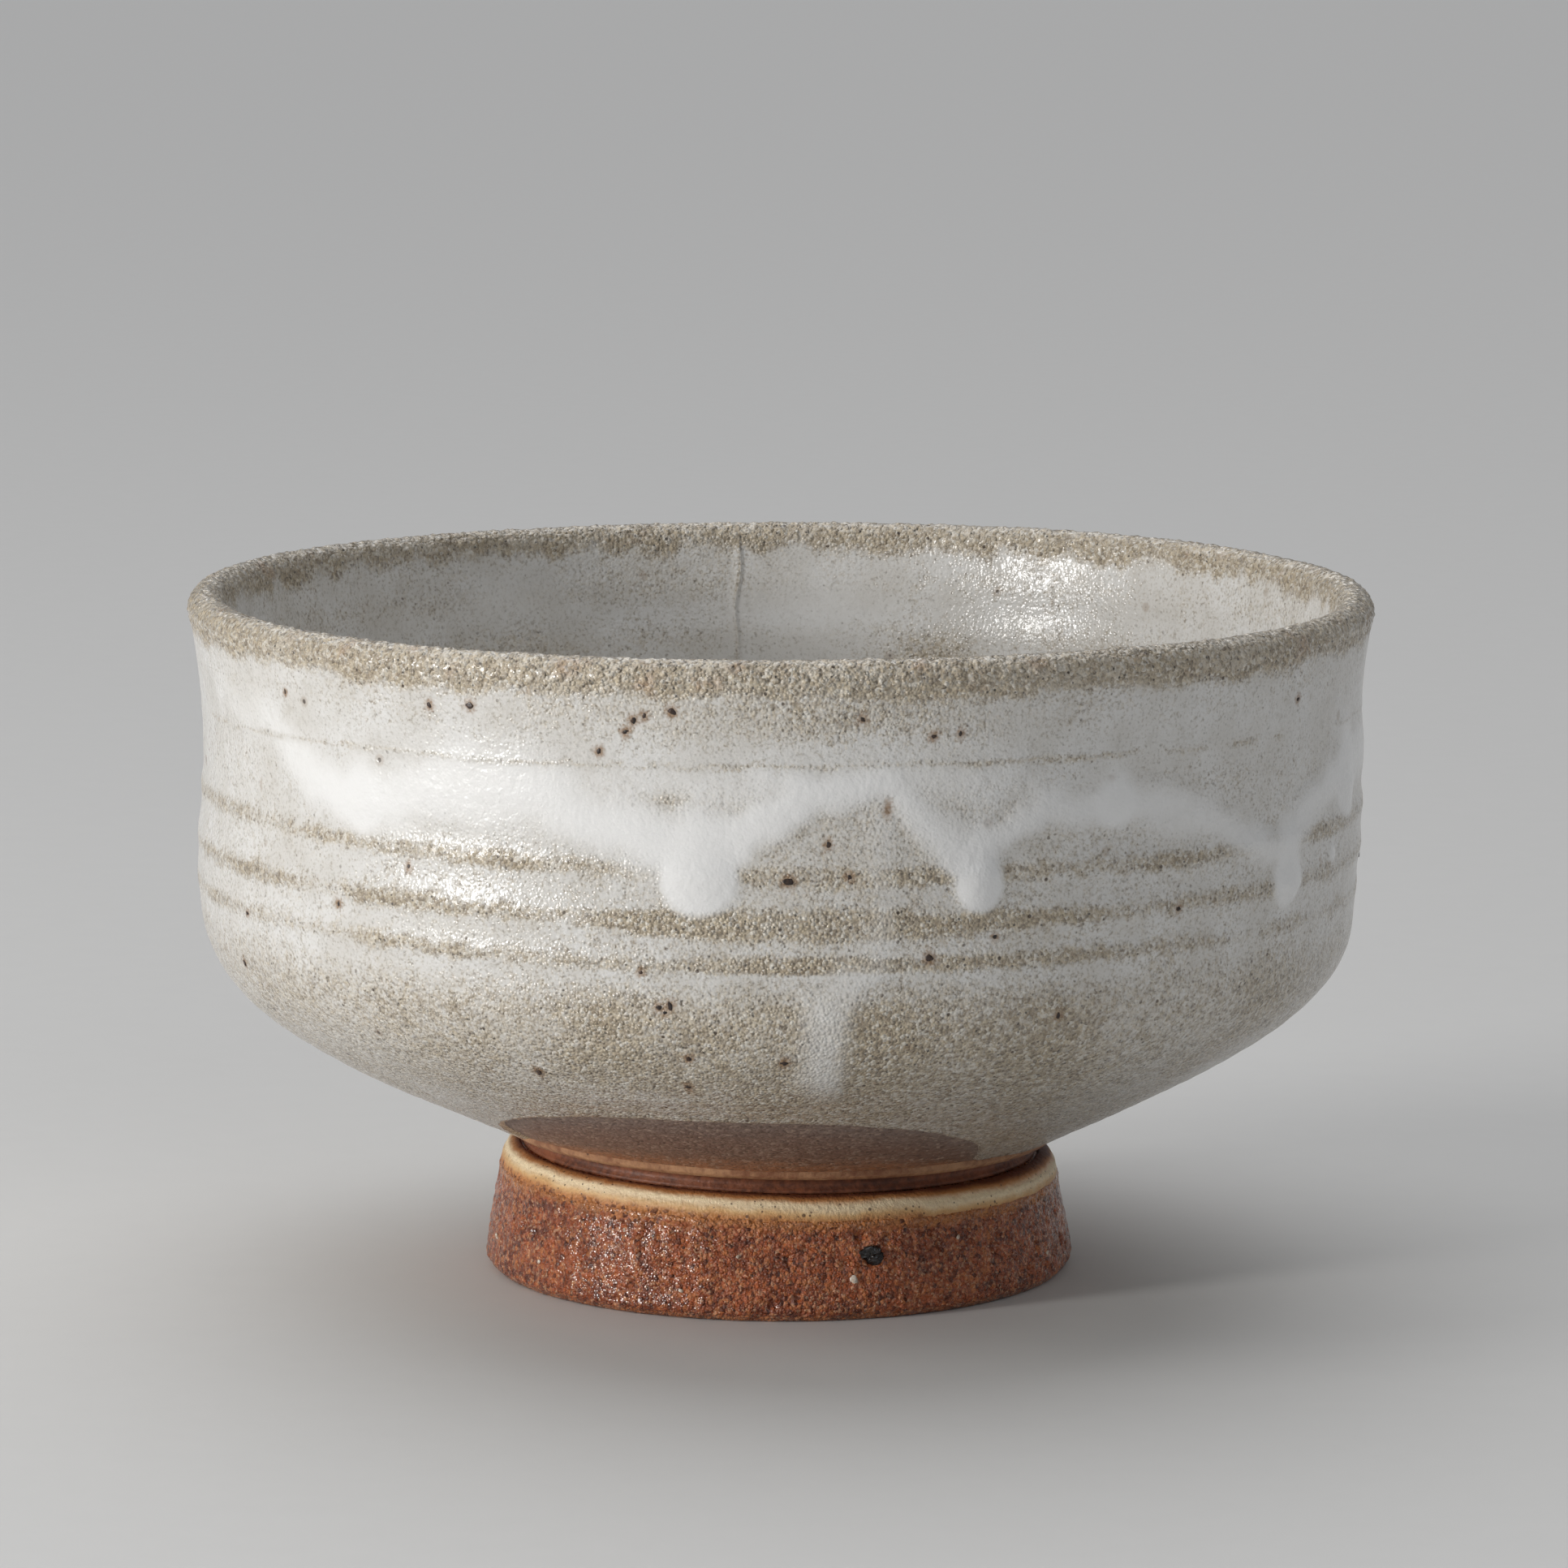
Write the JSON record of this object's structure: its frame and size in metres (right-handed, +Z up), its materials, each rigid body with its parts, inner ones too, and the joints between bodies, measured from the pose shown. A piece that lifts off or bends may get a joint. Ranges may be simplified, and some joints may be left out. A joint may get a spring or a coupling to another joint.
{
  "type": "tea bowl",
  "caption": "Round matcha tea bowl with a gently flared wall, white glaze drips and a tall bare-clay foot ring.",
  "frame": {"origin": "centre of the foot ring's resting face", "axes": "+Z up along the bowl's axis; the front, with the widest drip, faces -Y"},
  "size_m": [0.13, 0.13, 0.0756],
  "materials": {
    "body_clay": "bare fired clay",
    "foot_clay": "coarse bare red clay",
    "joint_slip": "dark fired slip",
    "outer_glaze": "glossy speckled glaze",
    "inner_glaze": "glossy speckled glaze",
    "rim_glaze": "dry sandy glaze",
    "foot_wash": "satin brown wash",
    "shoulder_slip": "satin cream slip",
    "white_glaze": "glossy white glaze",
    "iron_speck": "glossy",
    "black_stone": "glassy",
    "feldspar": "satin"
  },
  "bodies": {
    "root": {"clay_bowl": "body_clay", "foot_ring": "foot_clay", "foot_joint": "joint_slip", "outer_glaze": "outer_glaze", "inner_glaze": "inner_glaze", "rim_glaze": "rim_glaze", "foot_wash": "foot_wash", "shoulder_slip": "shoulder_slip", "white_pour": "white_glaze", "glaze_drips": "white_glaze", "inner_seam": "inner_glaze", "iron_specks": "iron_speck", "black_stone": "black_stone", "feldspar_grains": "feldspar"}
  },
  "joints": []
}
